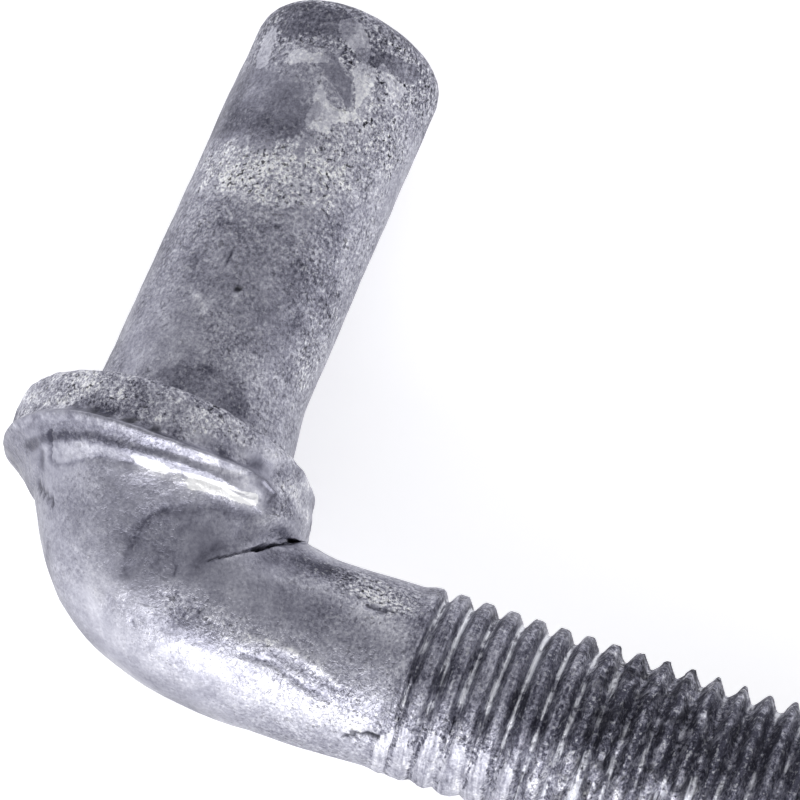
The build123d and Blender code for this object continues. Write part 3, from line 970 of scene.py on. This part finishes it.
for *oval, lighter, grainier in PIN_PATCHES:
    oval = patch(*oval)
    tone += 0.85 * lighter * oval
    grit += grainier * oval
# Painted shade down the pintle's outer side, weaker towards the top
tone -= 0.15 * on_pin * rise(around_pin, 128, 146) * (1 - 0.6 * rise(height, 30, 48))
tone -= 0.1 * on_pin * rise(height, 60, 62)
grit += on_pin * (0.55 * (0.8 + 0.5 * waves(8, 5)) + 0.62 * rise(height, 53, 59))
print("patches:", len(PIN_PATCHES))

# %% Flakes: strokes from (height, angle) to (height, angle), with their width at both ends
DULL_STROKES = [
    ((51.8, 142), (48.9, 116), 3.2, 4.3), ((48.3, 158), (48.6, 125), 1.8, 3.4),
    ((60.2, 122), (60.4, 92), 2.3, 1.5), ((58.2, 74), (59.4, 41), 0.9, 1),
    ((56, 91), (54.2, 78), 1, 0.8), ((54.4, 79), (52.4, 70), 1, 0.3),
    ((45.7, 85), (44.7, 82), 0.55, 0.3), ((48, 98), (50.6, 87), 1.5, 0.7),
]
FLAKE_STROKES = [
    ((49.9, 82), (53.6, 90), 1.5, 0.15), ((50.4, 79), (51.8, 63), 1, 0.2),
    ((56.3, 69), (52.6, 65), 1.3, 0.15), ((56.6, 46), (58.2, 63), 1.1, 0.15),
    ((55.6, 112), (56.3, 91), 0.9, 0.35), ((60.4, 88), (58.7, 75), 1.2, 1),
    ((58.2, 140), (55, 134), 1.2, 0.9),
]
# painted highlights along the ridge under the bead, drawn as bright flakes: width, and points to
# draw through
ZINC_RUNS = [
    (0.9, [(-0.5, 8.2, 13.7), (1, 8, 13.7), (2.5, 7.9, 13.5)]),
    (1.3, [(5.4, 7.9, 12.9), (7.1, 8.1, 12.4), (8.2, 8.4, 12), (9.7, 8.7, 11.2), (10.8, 8.9, 10.5)])
]
dulled = np.max([stroke(*row) for row in DULL_STROKES], axis=0)
flakes = np.max([stroke(*row) for row in FLAKE_STROKES], axis=0)
# Each painted highlight lightens the tone and lays a bright flake along its middle
for wide, line in ZINC_RUNS:
    run = near_line(line, wide)
    flakes = np.maximum(flakes, np.where(run > 0, 2 * run - 1, -1))
    tone += 0.2 * run
print("strokes:", len(DULL_STROKES), "dull and", len(FLAKE_STROKES), "bright")

# %% Along the thread: zinc and painted highlight on the low side, dark flanks further on, chips and bright roots
flank_band = band(sunk, 0.25, 0.45, 0.7, 0.9)
flowed = low_side - 0.86 + 0.1 * second_turns + 0.14 * waves(2.4, 22) + 0.08 * waves(0.9, 27)
flowed -= 0.25 * rise(x_at, 38, 54) + 0.2 * flank_band
flakes = np.where(on_thread > 0.5, 5 * flowed, flakes)
chips = debris * rise(waves(1.3, 21), 0.2, 0.36)
flecks = debris * rise(waves(1.1, 20), 0.08, 0.24)
tone += 0.46 * chips
tone -= 0.12 * on_thread * (1 - np.clip(sunk, 0, 1)) * rise(x_at, 36, 46)
# Partly thicker zinc on the low side and partly painted highlight on the side that faces the low
# lamp
zinc_below = 0.12 + 0.18 * rise(x_at, 36, 44) * (1 - 0.6 * rise(x_at, 58, 66))
zinc_below *= rise(below + 0.06 * second_turns, 0.8, 0.96)
further_on = 0.07 * fall(x_at, 32, 42) - 0.08 * rise(x_at, 34, 55)
tone += on_thread * (zinc_below - 0.25 + further_on)
grit += on_thread * (0.48 + 0.3 * filling) + 0.3 * debris
sunk *= 1 - 0.8 * filling * fall(x_at, 36, 46)
broken_roots = rise(waves(3.2, 24), -0.15, 0.2) * fall(low_side, 0.4, 0.7)
sunk -= 0.2 * rise(x_at, 44, 58) * broken_roots
sunk -= 0.07 * rise(x_at, 42, 52)
sunk += 0.22 * rise(low_side, 0.45, 0.8) * (sunk > 0.5)
sunk += 0.1 * fall(x_at, 36, 44) * (sunk > 0.5)
print("chips, share of the skin:", chips.mean().round(3))

# %% Write the marks on the points
# Painted shade in the corner where the pintle meets the seat
foot_grime = on_pin * fall(height, SEAT, SEAT + 2.5) * rise(around_pin, 20, 60)
dirty = grimy + 0.65 * flecks + 0.8 * soot + 0.55 * foot_grime
marks = {
    "groove": sunk,
    "thread": on_thread * (1 - 0.35 * rise(x_at, 42, 52)),
    "dull": dulled,
    "flake": flakes,
    "tone": tone,
    "rough": np.clip(grit, 0, 1.2),
    "grime": np.clip(dirty, 0, 1),
}
for name, values in marks.items():
    layer = mesh.attributes.get(name) or mesh.attributes.new(name, "FLOAT", "POINT")
    layer.data.foreach_set("value", values.astype(np.float32))
mesh.materials.clear()  # this also takes the number of a second material off the thread's faces
mesh.materials.append(zinc)
mesh.shade_smooth()
print("marks painted:", sorted(marks))

# %% Hand the piece to the frame
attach(bolt, "root")
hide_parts("j_bolt")

# %% [markdown]
# ## Floor, light and camera
#
# A pale floor, bright walls and one soft lamp, as in a small product studio. Bare metal
# shows mostly what it reflects, so the lamp stands low on the side of the bend: it draws the
# bright band down the elbow and neck and leaves the far side of the pintle grey. Painted
# highlight and shade on the bolt add to both.

# %% Floor
FLOOR_HALF = 4.0
FLOOR_GLOW = 0.50
corners = [(a * FLOOR_HALF, b * FLOOR_HALF, 0) for a, b in ((-1, -1), (1, -1), (1, 1), (-1, 1))]
floor = to_mesh("floor", corners, [(0, 1, 2, 3)])
pale_floor = bpy.data.materials.new("white_paper")
pale_floor.use_nodes = True
paper = pale_floor.node_tree.nodes["Principled BSDF"].inputs
paper["Base Color"].default_value = linear("#F6F6F8")
paper["Roughness"].default_value = 0.9
paper["Emission Color"].default_value = linear("#FFFFFF")
paper["Emission Strength"].default_value = FLOOR_GLOW
floor.data.materials.append(pale_floor)

# %% World: bright walls, a dimmer ceiling over the camera
WALL_LIGHT = 1.15
CEILING_LIGHT = 0.66
world = bpy.data.worlds.new("studio")
world.use_nodes = True
tree = world.node_tree
tree.nodes.clear()
ray = add("TexCoord").outputs["Generated"]
steepness = add("SeparateXYZ", ray).outputs["Z"]
glow = add(SOFT_STEP, steepness, 0.05, 0.75, WALL_LIGHT, CEILING_LIGHT)
backdrop = add("Background", {"Color": linear("#F7F7FA"), "Strength": glow})
add("OutputWorld", backdrop)
bpy.context.scene.world = world
bpy.context.scene.view_settings.view_transform = "Standard"

# %% One soft lamp, low on the side of the bend; its places are in mm on the drawing plane
LAMP_PLACE = (40, -480, 190)
LAMP_AIM = (10, 0, 0)
soft_light = bpy.data.lights.new("low_key", "AREA")
soft_light.shape = "RECTANGLE"
soft_light.size, soft_light.size_y = 0.6, 0.26
soft_light.energy = 1.7
lamp = link("low_key", soft_light)
at, to = (Vector(lay_down([p])[0]) for p in (LAMP_PLACE, LAMP_AIM))
lamp.location = at
lamp.rotation_mode = "QUATERNION"
lamp.rotation_quaternion = (to - at).to_track_quat("-Z", "Y")
print("lamp stands", round(lamp.location.z, 3), "m above the floor")

# %% Camera
CAMERA_PLACE = (59.29, -130.45, 370.64)
CAMERA_TURN = (23.664, -1.775, 18.079)
LENS = 185.3
camera = bpy.data.cameras.new("camera")
camera.lens = LENS
camera.sensor_width = 36.0
camera_object = link("camera", camera)
tilt = [math.radians(a) for a in CAMERA_TURN]
rx, ry, rz = (Matrix.Rotation(a, 3, axis) for a, axis in zip(tilt, "XYZ"))
camera_turn = Matrix(turn.tolist()) @ (rz @ ry @ rx)
camera_object.matrix_world = Matrix.Translation(lay_down([CAMERA_PLACE])[0]) @ camera_turn.to_4x4()
camera.clip_start, camera.clip_end = 0.01, 20.0
bpy.context.scene.camera = camera_object
print("camera stands", round(camera_object.location.z, 3), "m above the floor")
